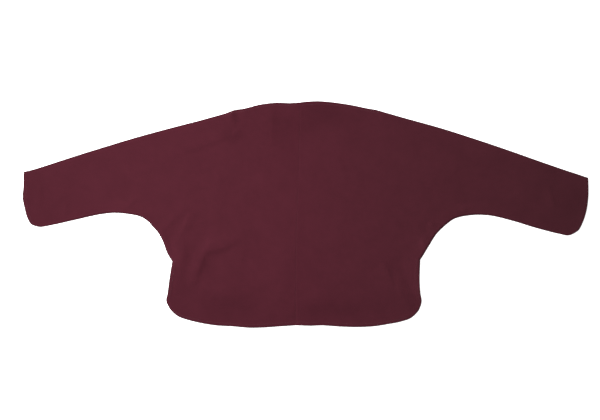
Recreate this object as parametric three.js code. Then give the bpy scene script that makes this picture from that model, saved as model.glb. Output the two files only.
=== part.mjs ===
// Dolman cardigan, laid out flat with its back upwards and its sleeves spread.
//
// Each half of the back and each front is cut in one with its sleeve. Four pieces of cloth are
// sewn along the centre back, over the arms and under the arms. The fronts lie on the surface,
// the back lies on the fronts, and all of it is in millimetres:
// X runs along the spread arms, Y from the hem up to the neck, and Z up from the surface.

import * as THREE from "three";

// ---------------------------------------------------------------- driving dimensions

const CLOTH = 1.8; // thickness of the knitted cloth
const SEAM_GAP = 0.3; // air between two pieces that are sewn together
const FRONT_INSET = 0.6; // how far the fronts keep inside the back's outline
const FRONT_OPENING = 6; // width of the gap between the two front edges
const FRONT_HEM_RISE = 44; // how far the front hem rises from the side to the opening
const FRONT_CORNER_RISE = 28; // and how much more its rounded lower corner rises
const FRONT_CORNER_SHARPNESS = 14; // the higher, the tighter that corner
const BACK_COLUMNS = 24; // grid cells from the under edge to the outer edge
const FRONT_COLUMNS = 12;
const FRONT_STEP_SHARE = 0.5; // the fronts have this share of the back's grid rows
const BACK_GRADING = 1.2; // above 1, the back's cells are narrower by the under edge

const BACK_UNDERSIDE = CLOTH + SEAM_GAP; // height of the back's inner face over the fronts

// Where the back reaches beyond the fronts it sinks to the surface: first a margin, then a slope.
const NECK_SINK = { margin: 34, slope: 70 };
const HEM_SINK = { margin: 15, slope: 24 };

// Rounding of the edges: how far the upper and lower faces stop inside the outline, and the
// height of the outline itself, as a share of the cloth.
const RIM = {
  free: { upper: 0.7, height: 0.5, lower: 0.7 },
  backSeam: { upper: 1.3, height: 0.25, lower: 0.15 },
  frontSeam: { upper: 0.15, height: 0.75, lower: 1.3 },
  centreSeam: { upper: 0.45, height: 0.35, lower: 0.15 },
};

const WINE = 0x54262f;
const WINE_INSIDE = 0x4c222b;

// ---------------------------------------------------------------- the cut

// A half is a bent strip of sections from the cuff, along the sleeve and down to the hem. Each
// section is straight: "outer" is its end over the arm, on the neck or at the centre back, and
// "under" its end under the arm or at the side. "steps" is the number of grid rows to the next.
const LEFT = {
  side: "left",
  sections: [
    { at: "cuff", outer: [-711.6, 398], under: [-692, 263.5], steps: 1 },
    { at: "cuff turn", outer: [-686, 404.5], under: [-671, 256], steps: 1 },
    { at: "wrist", outer: [-652, 415], under: [-645, 259.5], steps: 3 },
    { at: "forearm", outer: [-577, 439.5], under: [-577, 274.5], steps: 3 },
    { at: "elbow", outer: [-500, 463.5], under: [-515, 288.2], steps: 3 },
    { at: "upper arm", outer: [-420, 487.5], under: [-474, 292.4], steps: 3 },
    { at: "bust", outer: [-340, 509.5], under: [-437, 289], steps: 3 },
    { at: "shoulder", outer: [-255, 531.5], under: [-408, 282.5], steps: 3 },
    { at: "neck point", outer: [-187, 550.3], under: [-387, 269], steps: 1 },
    { at: "neck side", outer: [-164, 559], under: [-380, 261], steps: 1 },
    { at: "neck rise", outer: [-140, 562.6], under: [-372, 252], steps: 2 },
    { at: "neck slope", outer: [-94, 574], under: [-362, 240.5], steps: 2 },
    { at: "neck crest", outer: [-50, 578.4], under: [-354, 226.5], steps: 2 },
    { at: "neck dip", outer: [-21, 577.2], under: [-348.5, 215], steps: 1 },
    { at: "neck centre", outer: [6, 579.2], under: [-345, 205], steps: 3 },
    { at: "chest", outer: [4, 430], under: [-338.5, 187.5], steps: 3 },
    { at: "waist", outer: [-1.5, 290], under: [-325.5, 166], steps: 3 },
    { at: "hip", outer: [-4.5, 150], under: [-334, 113], steps: 2 },
    { at: "hem band", outer: [-5, 62], under: [-337.5, 84], steps: 2 },
    { at: "hem turn", outer: [-5, 30], under: [-341, 63], steps: 2 },
    { at: "hem", outer: [-5, 0], under: [-330, 41.5], steps: 0 },
  ],
  // the ends of the strip, from under to outer
  cuff: [[-702.5, 281], [-710.3, 311], [-714, 332], [-711.8, 362]],
  hem: [[-313, 25], [-280, 13], [-218, 0.8], [-172, -2.2], [-125, -6], [-90, -5.5], [-47, -2.6]],
};

const RIGHT = {
  side: "right",
  sections: [
    { at: "cuff", outer: [754, 383], under: [729, 247.5], steps: 1 },
    { at: "cuff turn", outer: [725, 393], under: [704, 234], steps: 1 },
    { at: "wrist", outer: [693, 403.5], under: [679, 238], steps: 3 },
    { at: "forearm", outer: [622, 428], under: [620, 253], steps: 3 },
    { at: "elbow", outer: [540, 457], under: [559, 271.5], steps: 3 },
    { at: "upper arm", outer: [455, 485.5], under: [499, 285.5], steps: 3 },
    { at: "bust", outer: [370, 512.5], under: [452, 286.5], steps: 3 },
    { at: "shoulder", outer: [280, 537.5], under: [408, 277.5], steps: 3 },
    { at: "neck point", outer: [203, 559.5], under: [386, 262.5], steps: 1 },
    { at: "neck side", outer: [176, 564.2], under: [378, 255.5], steps: 1 },
    { at: "neck rise", outer: [150, 569.8], under: [369, 247], steps: 2 },
    { at: "neck slope", outer: [110, 576.8], under: [358, 234.5], steps: 2 },
    { at: "neck crest", outer: [60, 582], under: [349.5, 221.5], steps: 2 },
    { at: "neck dip", outer: [32, 581.6], under: [344, 212], steps: 1 },
    { at: "neck centre", outer: [6, 579.2], under: [339, 204], steps: 3 },
    { at: "chest", outer: [4, 430], under: [329.5, 188], steps: 3 },
    { at: "waist", outer: [-1.5, 290], under: [318, 170], steps: 3 },
    { at: "hip", outer: [-4.5, 150], under: [316.5, 118], steps: 2 },
    { at: "hem band", outer: [-5, 62], under: [318.5, 84], steps: 2 },
    { at: "hem turn", outer: [-5, 30], under: [321.5, 61], steps: 2 },
    { at: "hem", outer: [-5, 0], under: [313.5, 39], steps: 0 },
  ],
  cuff: [[740.5, 268], [750, 298], [754.5, 331], [755, 358]],
  hem: [[295, 20], [266, 9.5], [234, 3.4], [200, -2], [156, -4.2], [109, -2.9], [62, 0], [31, -1]],
};

// The outer edge turns sharply at the neck point and at the neck centre, the under edge at the
// waist, where the side vent begins. The sleeve seam begins at the wrist, above the cuff vent.
const WRIST = 2;
const NECK_POINT = 8;
const NECK_CENTRE = 14;
const WAIST = 16;
const HEM_BAND = 18;
const HEM = 20;

// ---------------------------------------------------------------- the folds of the back

// Each fold runs from, via and to a point. It rises by "height" at the share "peak" of its way,
// and "left" and "right" are the widths of its flanks as seen along it.
const FOLDS = [
  // under the left shoulder, and from the neck down
  { from: [-134, 506], via: [-250, 472], to: [-424, 403], height: 1.6, peak: 0.32, left: 9, right: 22 },
  { from: [-62, 584], via: [-74, 510], to: [-64, 380], height: 1.3, peak: 0.25, left: 11, right: 26 },
  // a fan at the left underarm
  { from: [-362, 230], via: [-330, 278], to: [-262, 322], height: 1.1, peak: 0.4, left: 14, right: 9 },
  { from: [-330, 186], via: [-300, 244], to: [-262, 316], height: 1.6, peak: 0.5, left: 8, right: 17 },
  { from: [-310, 78], via: [-302, 164], to: [-288, 262], height: 2.5, peak: 0.5, left: 17, right: 16 },
  // the deepest, at the left side, and its branch
  { from: [-282, 72], via: [-266, 144], to: [-226, 222], height: 3.9, peak: 0.62, left: 21, right: 13 },
  { from: [-254, 202], via: [-202, 176], to: [-112, 262], height: 3.0, peak: 0.28, left: 30, right: 9 },
  // at the right side
  { from: [200, 166], via: [240, 162], to: [246, 74], height: 2.1, peak: 0.6, left: 9, right: 20 },
  { from: [240, 150], via: [266, 100], to: [300, 34], height: 2.6, peak: 0.55, left: 18, right: 20 },
  { from: [334, 240], via: [304, 266], to: [250, 302], height: 1.3, peak: 0.3, left: 10, right: 18 },
];
const LEAST_FLANK = 15; // a narrower flank would fall between the points of the grid

// Broad swells: the cloth lies a little clear of the fronts in the middle of each area.
const SWELLS = [
  { centre: [-560, 352], reach: [130, 60], height: 0.9 },
  { centre: [-330, 400], reach: [120, 80], height: 1.2 },
  { centre: [-150, 330], reach: [120, 110], height: 1.3 },
  { centre: [-120, 130], reach: [150, 70], height: 0.9 },
  { centre: [140, 150], reach: [140, 80], height: 1.0 },
  { centre: [170, 350], reach: [130, 110], height: 1.2 },
  { centre: [360, 400], reach: [120, 80], height: 1.1 },
  { centre: [600, 335], reach: [130, 60], height: 0.9 },
];
const FOLD_SAMPLES = 24; // points at which a fold's line is tried for the nearest
const EDGE_CALM = 24; // over this distance from a seam or edge the back settles onto the fronts

// ---------------------------------------------------------------- curves

const smooth = (x) => THREE.MathUtils.smoothstep(x, 0, 1);

/** A smooth line through points, broken at the corners; at(u) counts u in points. */
function line(points, corners = []) {
  const stops = [0, ...corners, points.length - 1];
  const runs = stops.slice(1).map((last, k) => {
    const part = points.slice(stops[k], last + 1).map(([x, y]) => new THREE.Vector3(x, y, 0));
    return new THREE.CatmullRomCurve3(part, false, "centripetal");
  });
  return (u) => {
    const k = Math.max(0, stops.findIndex((stop, n) => n > 0 && u <= stop) - 1);
    return runs[k].getPoint((u - stops[k]) / (stops[k + 1] - stops[k]));
  };
}

/**
 * The strip of one half: point(s, t) with s in sections, from cuff to hem, and t from 0 on the
 * under edge to 1 on the outer edge. Sections are straight, and the curves of cuff and hem fade
 * away from the two ends. The under edge and those curves run on into each other, so that they
 * meet without a corner.
 */
function strip(half) {
  const { sections } = half;
  const outer = line(sections.map((row) => row.outer), [NECK_POINT, NECK_CENTRE]);
  const underRows = sections.map((row) => row.under);
  const underLine = line([half.cuff[0], ...underRows, half.hem[0]], [WAIST + 1]);
  const under = (s) => underLine(s + 1);
  const bow = (s, before, points) => {
    const ends = [under(s), outer(s)];
    const curve = line([before, ends[0].toArray(), ...points, ends[1].toArray()]);
    return (t) => curve(1 + t * (points.length + 1)).sub(ends[0].clone().lerp(ends[1], t));
  };
  const bows = [bow(0, underRows[1], half.cuff), bow(HEM, underRows[HEM - 1], half.hem)];
  const away = half.side === "left" ? -1 : 1;

  return (s, t) => {
    const p = under(s).lerp(outer(s), t);
    const fades = [Math.max(0, 1 - s / (WRIST + 2)) ** 2, smooth((s - WAIST) / (HEM - WAIST))];
    bows.forEach((curve, n) => p.addScaledVector(curve(t), fades[n]));
    p.x += ((away * SEAM_GAP) / 2) * smooth((s - NECK_POINT) / (NECK_CENTRE - NECK_POINT)) * t;
    return p;
  };
}

// ---------------------------------------------------------------- heights of the back

/** The length of one section just above the hem, at the share t of its width. */
function hemSection(point, t) {
  return point(HEM_BAND, t).distanceTo(point(HEM, t)) / (HEM - HEM_BAND);
}

/** How far the front hem lies above the back hem at the share t, in sections. */
function frontRise(point, t) {
  const rise = FRONT_HEM_RISE * t ** 2 + FRONT_CORNER_RISE * t ** FRONT_CORNER_SHARPNESS;
  return rise / hemSection(point, t);
}

/**
 * The share of the section at s that the front covers, from its under end: up to the straight
 * neckline, which runs from the neck point to the centre at the waist.
 */
function frontShare(point, s) {
  if (s <= NECK_POINT || s >= WAIST) return 1;
  const start = point(NECK_POINT, 1);
  const neckline = point(WAIST, 1).sub(start);
  const section = point(s, 1).sub(point(s, 0));
  const across = (a, b) => a.x * b.y - a.y * b.x;
  return across(start.sub(point(s, 0)), neckline) / across(section, neckline);
}

/** 1 where the back lies on the surface beyond the fronts, 0 where it lies on them. */
function sunk(point, s, t) {
  const reach = point(s, 0).distanceTo(point(s, 1));
  const beyondNeck = (t - frontShare(point, s)) * reach;
  const beyondHem = (s - HEM + frontRise(point, t)) * hemSection(point, t);
  return Math.max(
    smooth((beyondNeck - NECK_SINK.margin) / NECK_SINK.slope),
    smooth((beyondHem - HEM_SINK.margin) / HEM_SINK.slope),
  );
}

/** The height that one fold adds at the point p. */
function foldHeight(fold, p) {
  const curve = new THREE.QuadraticBezierCurve3(
    new THREE.Vector3(...fold.from, 0),
    new THREE.Vector3(...fold.via, 0),
    new THREE.Vector3(...fold.to, 0),
  );
  let nearest = { distance: Infinity, u: 0 };
  for (let k = 0; k <= FOLD_SAMPLES; k++) {
    const u = k / FOLD_SAMPLES;
    const distance = curve.getPoint(u).distanceTo(p);
    if (distance < nearest.distance) nearest = { distance, u };
  }
  const { distance, u } = nearest;
  const way = curve.getTangent(u);
  const from = p.clone().sub(curve.getPoint(u));
  const side = way.x * from.y - way.y * from.x > 0 ? fold.left : fold.right;
  const flank = Math.max(side, LEAST_FLANK);
  const along = u < fold.peak ? u / fold.peak : (1 - u) / (1 - fold.peak);
  return fold.height * smooth(along) * Math.exp(-((distance / flank) ** 2));
}

/** The height that the swells and folds add at the point p. */
function relief(p) {
  const swells = SWELLS.map(({ centre, reach, height }) => {
    const dx = (p.x - centre[0]) / reach[0];
    const dy = (p.y - centre[1]) / reach[1];
    return height * Math.exp(-(dx * dx + dy * dy));
  });
  return [...swells, ...FOLDS.map((fold) => foldHeight(fold, p))].reduce((sum, h) => sum + h, 0);
}

/**
 * The height of the back's inner face, calm along its edges. The centre back is no edge, because
 * the two halves lie there as one cloth.
 */
function backUnderside(point, s, t) {
  const p = point(s, t);
  const edges = [point(s, 0), point(Math.min(s, NECK_CENTRE), 1), point(0, t), point(HEM, t)];
  const clear = Math.min(...edges.map((edge) => edge.distanceTo(p)));
  const onFronts = 1 - sunk(point, s, t);
  return BACK_UNDERSIDE * onFronts + relief(p) * smooth(clear / EDGE_CALM);
}

// ---------------------------------------------------------------- walls of cloth

/**
 * A closed wall from a grid of outline points and heights of its lower face. The rim carries a
 * third line of points round the edge between the upper and the lower face.
 * grid: rows, columns, at(i, j) -> { point, z }, kind(i, j) -> a RIM, inset, mirrored
 */
function wallGeometry(grid) {
  const { rows, columns, mirrored } = grid;
  const positions = [];
  const faces = [];
  const cells = rows * columns;
  const quad = (a, b, c, d) => faces.push(...(mirrored ? [a, c, b, a, d, c] : [a, b, c, a, c, d]));
  const number = (i, j) => i * (columns + 1) + j;

  const nodes = [];
  for (let i = 0; i <= rows; i++) {
    for (let j = 0; j <= columns; j++) nodes.push(grid.at(i, j));
  }

  // the edge, once round: along the under edge, the hem, the outer edge and the cuff
  const edge = [];
  for (let i = 0; i < rows; i++) edge.push([i, 0]);
  for (let j = 0; j < columns; j++) edge.push([rows, j]);
  for (let i = rows; i > 0; i--) edge.push([i, columns]);
  for (let j = columns; j > 0; j--) edge.push([0, j]);

  const upper = nodes.map(({ point }) => point.clone());
  const lower = nodes.map(({ point }) => point.clone());
  const rim = edge.map(([i, j], k) => {
    const before = nodes[number(...edge[(k + edge.length - 1) % edge.length])].point;
    const after = nodes[number(...edge[(k + 1) % edge.length])].point;
    const way = after.clone().sub(before).normalize();
    const outwards = new THREE.Vector3(way.y, -way.x, 0).multiplyScalar(mirrored ? -1 : 1);
    const shape = grid.kind(i, j);
    const n = number(i, j);
    const { point, z } = nodes[n];
    upper[n].addScaledVector(outwards, -grid.inset - shape.upper);
    lower[n].addScaledVector(outwards, -grid.inset - shape.lower);
    return point.clone().addScaledVector(outwards, -grid.inset).setZ(z + shape.height * CLOTH);
  });

  upper.forEach((p, n) => positions.push(p.x, p.y, nodes[n].z + CLOTH));
  lower.forEach((p, n) => positions.push(p.x, p.y, nodes[n].z));
  rim.forEach((p) => positions.push(p.x, p.y, p.z));

  const below = nodes.length;
  for (let n = 0; n < cells; n++) {
    const i = Math.floor(n / columns);
    const j = n % columns;
    const corners = [number(i, j), number(i + 1, j), number(i + 1, j + 1), number(i, j + 1)];
    quad(...corners);
    quad(...corners.map((corner) => corner + below).reverse());
  }
  const round = 2 * below;
  edge.forEach(([i, j], k) => {
    const next = (k + 1) % edge.length;
    const here = number(i, j);
    const there = number(...edge[next]);
    quad(round + k, round + next, there, here);
    quad(below + here, below + there, round + next, round + k);
  });

  const geometry = new THREE.BufferGeometry();
  geometry.setAttribute("position", new THREE.Float32BufferAttribute(positions, 3));
  geometry.setIndex(faces);
  geometry.computeVertexNormals();
  return geometry;
}

/** The places of the grid rows along a half, in sections. */
function rowPlaces(sections, share) {
  const places = [0];
  sections.slice(0, -1).forEach((row, k) => {
    const steps = Math.max(1, Math.round(row.steps * share));
    for (let n = 1; n <= steps; n++) places.push(k + n / steps);
  });
  return places;
}

/** Which edge a border point is on, for the panel's way of closing its sewn edges. */
function edgeKind(s, onEnd, onOuter, seam) {
  if (onEnd) return RIM.free;
  if (onOuter && s >= NECK_CENTRE) return RIM.centreSeam;
  if (onOuter) return s > NECK_POINT ? RIM.free : seam;
  return s > WAIST || s < WRIST ? RIM.free : seam;
}

function backPanel(half) {
  const point = strip(half);
  const places = rowPlaces(half.sections, 1);
  const rows = places.length - 1;
  const columns = BACK_COLUMNS;
  return wallGeometry({
    rows,
    columns,
    inset: 0,
    mirrored: half.side === "right",
    at(i, j) {
      const t = (j / columns) ** BACK_GRADING;
      return { point: point(places[i], t), z: backUnderside(point, places[i], t) };
    },
    kind: (i, j) => edgeKind(places[i], i === 0 || i === rows, j === columns, RIM.backSeam),
  });
}

/** A front covers part of each section, and its hem rises towards the opening. */
function frontPanel(half) {
  const point = strip(half);
  const places = rowPlaces(half.sections, FRONT_STEP_SHARE);
  const rows = places.length - 1;
  const columns = FRONT_COLUMNS;
  const away = half.side === "left" ? -1 : 1;
  return wallGeometry({
    rows,
    columns,
    inset: FRONT_INSET,
    mirrored: half.side === "right",
    at(i, j) {
      const t = (1 - Math.cos((Math.PI * j) / columns)) / 2; // narrow cells by both edges
      const rise = frontRise(point, t) * smooth((places[i] - WAIST) / (HEM - WAIST));
      const p = point(places[i] - rise, t * frontShare(point, places[i]));
      if (places[i] > NECK_POINT) p.x += (away * FRONT_OPENING * t) / 2;
      return { point: p, z: 0 };
    },
    kind(i, j) {
      const free = i === 0 || i === rows || (j === columns && places[i] > NECK_POINT);
      return edgeKind(places[i], free, j === columns, RIM.frontSeam);
    },
  });
}

// ---------------------------------------------------------------- the cardigan

function cloth(name, colour, geometry) {
  const material = new THREE.MeshStandardMaterial({ color: colour, roughness: 0.95, metalness: 0 });
  const mesh = new THREE.Mesh(geometry, material);
  mesh.name = name;
  return mesh;
}

const cardigan = new THREE.Group();
for (const half of [LEFT, RIGHT]) {
  cardigan.add(cloth(`back_${half.side}`, WINE, backPanel(half)));
  cardigan.add(cloth(`front_${half.side}`, WINE_INSIDE, frontPanel(half)));
}

// the origin is the middle of the cardigan's box, on the surface that it lies on
const box = new THREE.Box3().setFromObject(cardigan);
const middle = box.getCenter(new THREE.Vector3());
const group = new THREE.Group();
cardigan.position.set(-middle.x, -middle.y, -box.min.z);
group.add(cardigan);

export default group;
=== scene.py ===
"""Dolman cardigan laid out flat with its back upwards: cloth, sewing, finish and studio stage.

The tables of the cut are in millimetres, counted from the middle of the back hem, X along the
spread sleeves, Y up to the neck and Z out of the back. The scene itself is in metres.
"""

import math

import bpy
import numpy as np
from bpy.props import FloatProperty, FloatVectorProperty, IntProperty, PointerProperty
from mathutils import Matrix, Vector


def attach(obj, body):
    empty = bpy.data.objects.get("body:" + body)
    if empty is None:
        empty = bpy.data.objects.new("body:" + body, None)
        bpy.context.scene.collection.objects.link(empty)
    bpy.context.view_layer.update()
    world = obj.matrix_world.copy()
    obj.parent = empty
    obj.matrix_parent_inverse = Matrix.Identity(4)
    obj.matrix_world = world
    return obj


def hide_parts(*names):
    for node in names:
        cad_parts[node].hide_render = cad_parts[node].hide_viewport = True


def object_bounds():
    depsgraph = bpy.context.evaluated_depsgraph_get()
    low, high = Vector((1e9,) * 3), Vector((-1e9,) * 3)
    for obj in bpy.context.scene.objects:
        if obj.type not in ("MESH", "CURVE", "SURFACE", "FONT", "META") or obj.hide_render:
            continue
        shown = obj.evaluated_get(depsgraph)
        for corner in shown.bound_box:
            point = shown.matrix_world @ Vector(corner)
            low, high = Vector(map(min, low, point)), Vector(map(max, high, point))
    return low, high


bl_info = {
    "name": "Dolman cardigan",
    "version": (1, 0, 0),
    "blender": (4, 5, 0),
    "location": "View3D > Sidebar > Cardigan",
    "description": "Builds the knitted cloth, the sewing and the stage of a flat dolman cardigan",
    "category": "Add Mesh",
}

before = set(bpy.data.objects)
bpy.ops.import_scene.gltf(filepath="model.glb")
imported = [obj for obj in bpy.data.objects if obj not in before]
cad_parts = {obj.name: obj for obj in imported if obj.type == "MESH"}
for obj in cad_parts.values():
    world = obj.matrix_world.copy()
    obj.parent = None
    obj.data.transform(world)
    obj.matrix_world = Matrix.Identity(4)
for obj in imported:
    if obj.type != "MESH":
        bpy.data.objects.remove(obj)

CAD_BOX = [list(corner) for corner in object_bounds()]
MM = 0.001

# ---------------- the cut

# A half is a bent strip of straight sections from the cuff, along the sleeve and down to the
# hem. Columns: place; grid steps to the next section; then for the left and for the right half,
# outer end x and y (over the arm, on the neck, at the centre back) and under end x and y (under
# the arm, at the side).
SECTIONS = [
    ("cuff", 1, (-711.6, 398, -692, 263.5), (754, 383, 729, 247.5)),
    ("cuff turn", 1, (-686, 404.5, -671, 256), (725, 393, 704, 234)),
    ("wrist", 3, (-652, 415, -645, 259.5), (693, 403.5, 679, 238)),
    ("forearm", 3, (-577, 439.5, -577, 274.5), (622, 428, 620, 253)),
    ("elbow", 3, (-500, 463.5, -515, 288.2), (540, 457, 559, 271.5)),
    ("upper arm", 3, (-420, 487.5, -474, 292.4), (455, 485.5, 499, 285.5)),
    ("bust", 3, (-340, 509.5, -437, 289), (370, 512.5, 452, 286.5)),
    ("shoulder", 3, (-255, 531.5, -408, 282.5), (280, 537.5, 408, 277.5)),
    ("neck point", 1, (-187, 550.3, -387, 269), (203, 559.5, 386, 262.5)),
    ("neck side", 1, (-164, 559, -380, 261), (176, 564.2, 378, 255.5)),
    ("neck rise", 2, (-140, 562.6, -372, 252), (150, 569.8, 369, 247)),
    ("neck slope", 2, (-94, 574, -362, 240.5), (110, 576.8, 358, 234.5)),
    ("neck crest", 2, (-50, 578.4, -354, 226.5), (60, 582, 349.5, 221.5)),
    ("neck dip", 1, (-21, 577.2, -348.5, 215), (32, 581.6, 344, 212)),
    ("neck centre", 3, (6, 579.2, -345, 205), (6, 579.2, 339, 204)),
    ("chest", 3, (4, 430, -338.5, 187.5), (4, 430, 329.5, 188)),
    ("waist", 3, (-1.5, 290, -325.5, 166), (-1.5, 290, 318, 170)),
    ("hip", 2, (-4.5, 150, -334, 113), (-4.5, 150, 316.5, 118)),
    ("hem band", 2, (-5, 62, -337.5, 84), (-5, 62, 318.5, 84)),
    ("hem turn", 2, (-5, 30, -341, 63), (-5, 30, 321.5, 61)),
    ("hem", 0, (-5, 0, -330, 41.5), (-5, 0, 313.5, 39)),
]
# The curved ends of each strip, from the under edge to the outer one.
CUFFS = {
    "left": [(-702.5, 281), (-710.3, 311), (-714, 332), (-711.8, 362)],
    "right": [(740.5, 268), (750, 298), (754.5, 331), (755, 358)],
}
HEMS = {
    "left": [
        (-313, 25), (-280, 13), (-218, 0.8), (-172, -2.2), (-125, -6), (-90, -5.5), (-47, -2.6),
    ],
    "right": [
        (295, 20), (266, 9.5), (234, 3.4), (200, -2), (156, -4.2), (109, -2.9), (62, 0), (31, -1),
    ],
}
PLACES = [place for place, *_ in SECTIONS]
WRIST, NECK_POINT, NECK_CENTRE = map(PLACES.index, ("wrist", "neck point", "neck centre"))
WAIST, HEM_BAND, HEM = map(PLACES.index, ("waist", "hem band", "hem"))

SEAM_GAP = 0.04  # a hair's breadth between the faces of the back and of the fronts
FRONT_OPENING = 6.0  # width of the gap between the two front edges
FRONT_HEM_RISE = 44.0  # how far the front hem rises from the side to the opening
FRONT_CORNER_RISE = 28.0  # and how much more its rounded lower corner rises
FRONT_CORNER_SHARPNESS = 14
NECK_SINK = (34.0, 70.0)  # beyond the neckline: margin, then the slope down to the surface
HEM_SINK = (8.0, 62.0)  # beyond the front hem
EDGE_CALM = 24.0  # over this distance from an edge the swells settle onto the fronts
CREASE_CALM = 9.0  # and over this distance the creases do
SEAM_BULK = (1.2, 24.0, 4.0)  # height beside a sewn edge, its reach and the rise from the edge
TURNING = 11.0  # width of the turned hems
TURNING_BULK = (0.3, 5.0, 3.0)  # how much they stand up, the slope inside and the rise outside
STITCH_INSIDE = 9.5  # distance of the top stitching from the edge
STITCH_GROOVE = (0.35, 3.0)  # depth and width of the groove that it draws into the fronts
STITCH_AHEAD = 1.0  # a stitch's direction comes from places this far before and after it
BACK_COLUMNS, FRONT_COLUMNS = 18, 12  # grid steps across a back and across a front
BACK_GRADING = 1.2  # the power that draws a back's columns closer at its under edge
FOLD_SAMPLES = 40  # straight stretches that stand for a fold when distances to it are taken
EDGE_SAMPLES = 60  # and for an edge
LINE_SAMPLES = 1200  # places along a line of sewing, by which its stitches are spaced
THREAD_SIDES = 4
SEWN_ON_EACH_HALF = ("over_arm", "under_arm", "edges")

# The course of the thread at a stitch, counted from the panel's underside or from its face.
# Columns: out from the line, along it, and up.
COURSES = {
    "seam": (  # down the groove of a sewn edge, from the back's rim in to the front's
        "underside",
        [(0.2, 0, 0.6), (0.56, 0, 0.3), (0.5, 0, -0.05), (0, 0, -0.35), (-0.7, 0, -0.62)],
    ),
    "ladder": (  # over the groove of a butted seam, from one panel into the other
        "face",
        [(-1, 0, -0.4), (-0.6, 0, -0.1), (0, 0, -0.08), (0.6, 0, -0.1), (1, 0, -0.4)],
    ),
    "outside": (  # a running stitch that comes up, lies along the line and goes down
        "face",
        [(0, -1.2, -0.35), (0, -0.8, 0.04), (0, 0, 0.12), (0, 0.8, 0.04), (0, 1.2, -0.35)],
    ),
    "inside": (  # the same on the underside of a front, within its groove
        "underside",
        [(0, -1.2, 0.35), (0, -0.8, -0.04), (0, 0, -0.12), (0, 0.8, -0.04), (0, 1.2, 0.35)],
    ),
}

# How an edge of a panel is rounded: how far its outline keeps inside the line of the cut, the
# height of the outline as a share of the cloth, and how far inside it the two faces end.
# Columns: inset, height, upper face, lower face.
BACK_EDGES = {
    "free": (-0.5, 0.5, 0.9, 0.9),
    "sewn": (-0.5, 0.25, 1.5, 0.15),
    "centre": (0.0, 0.86, 0.3, 0.15),
}
FRONT_EDGES = {"free": (0.6, 0.5, 0.9, 0.9), "sewn": (0.6, 0.75, 0.15, 1.5)}
EDGE_REACH = 10.0  # over this distance the grid makes room for the rounding of an edge
RIM_ANGLES = np.radians([25, 50, 72, 90, 112, 136, 158])  # from the upper face to the lower

# ---------------- the folds

# Columns: from x, y; via x, y; to x, y; height; share of the way to its peak; width of the left
# and of the right flank, as seen along the fold.
MAIN_FOLDS = [
    (-134, 506, -250, 472, -424, 403, 1.6, 0.32, 9, 22),  # under the left shoulder
    (-62, 584, -74, 510, -64, 380, 1.3, 0.25, 11, 26),  # from the neck down
    (-362, 230, -330, 278, -262, 322, 1.1, 0.4, 14, 9),  # fan at the left underarm
    (-330, 186, -300, 244, -262, 316, 1.6, 0.5, 8, 17),
    (-310, 78, -302, 164, -288, 262, 2.5, 0.5, 17, 16),
    (-282, 72, -266, 144, -226, 222, 3.9, 0.62, 21, 13),  # the deepest, at the left side
    (-254, 202, -202, 176, -112, 262, 3.0, 0.28, 30, 9),  # and its branch
    (200, 166, 240, 162, 246, 74, 2.1, 0.6, 9, 20),  # at the right side
    (240, 150, 266, 100, 300, 34, 2.6, 0.55, 18, 20),
    (334, 240, 304, 266, 250, 302, 1.3, 0.3, 10, 18),
]
# Broad swells. Columns: centre x, y; reach x, y; height.
SWELLS = [
    (-560, 352, 130, 60, 0.9),
    (-330, 400, 120, 80, 1.2),
    (-150, 330, 120, 110, 1.3),
    (-120, 130, 150, 70, 0.9),
    (140, 150, 140, 80, 1.0),
    (170, 350, 130, 110, 1.2),
    (360, 400, 120, 80, 1.1),
    (600, 335, 130, 60, 0.9),
]
# Small creases, with the columns of MAIN_FOLDS.
SMALL_FOLDS = [
    (-175, 566, -171, 544, -165, 516, 2.6, 0.35, 6, 14),  # puckers below the neck points
    (-148, 570, -146, 544, -142, 514, 0.6, 0.4, 16, 12),
    (214, 566, 218, 546, 226, 524, 1.3, 0.4, 12, 6),
    (-150, 516, -158, 498, -176, 484, 1.4, 0.4, 14, 7),
    (-668, 384, -671, 334, -666, 284, 1.4, 0.5, 7, 12),  # behind the left cuff
    (-602, 330, -602, 298, -603, 266, 0.9, 0.5, 6, 9),
    (-450, 300, -434, 316, -408, 336, 1.1, 0.45, 11, 7),
    (-545, 420, -522, 411, -494, 404, 1.1, 0.5, 10, 7),
    (-128, 206, -140, 182, -158, 148, 0.7, 0.5, 8, 12),
    (-236, 92, -176, 82, -104, 44, 2.0, 0.4, 40, 17),  # above the hem
    (-30, 60, 66, 70, 190, 40, 2.1, 0.5, 42, 18),
    (-30, 16, -34, 140, -14, 290, 1.3, 0.5, 50, 56),  # broad, beside the centre back
    (338, 256, 348, 262, 360, 268, 0.9, 0.5, 8, 6),
    (416, 306, 428, 300, 446, 292, 0.9, 0.5, 9, 6),
    (520, 336, 560, 326, 610, 302, 0.8, 0.5, 16, 10),
    (640, 378, 664, 334, 668, 282, 0.9, 0.5, 8, 14),
    (92, 470, 110, 400, 150, 320, 0.9, 0.45, 12, 24),
    (-214, 420, -196, 360, -206, 290, 0.9, 0.5, 12, 26),
    (60, 250, 96, 214, 150, 190, 0.8, 0.5, 10, 22),
]
# Creases pressed into the fronts from below, with the columns of MAIN_FOLDS.
FRONT_FOLDS = [
    (-352, 226, -318, 268, -256, 306, 0.5, 0.35, 9, 12),
    (-270, 92, -250, 160, -220, 226, 0.5, 0.55, 12, 9),
    (-140, 500, -240, 478, -360, 432, 0.4, 0.4, 14, 10),
    (-660, 380, -664, 330, -660, 284, 0.4, 0.5, 8, 8),
    (330, 236, 296, 266, 246, 300, 0.5, 0.3, 12, 9),
    (214, 180, 226, 132, 240, 80, 0.4, 0.5, 10, 11),
    (240, 520, 330, 486, 440, 452, 0.4, 0.4, 12, 14),
]
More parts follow.
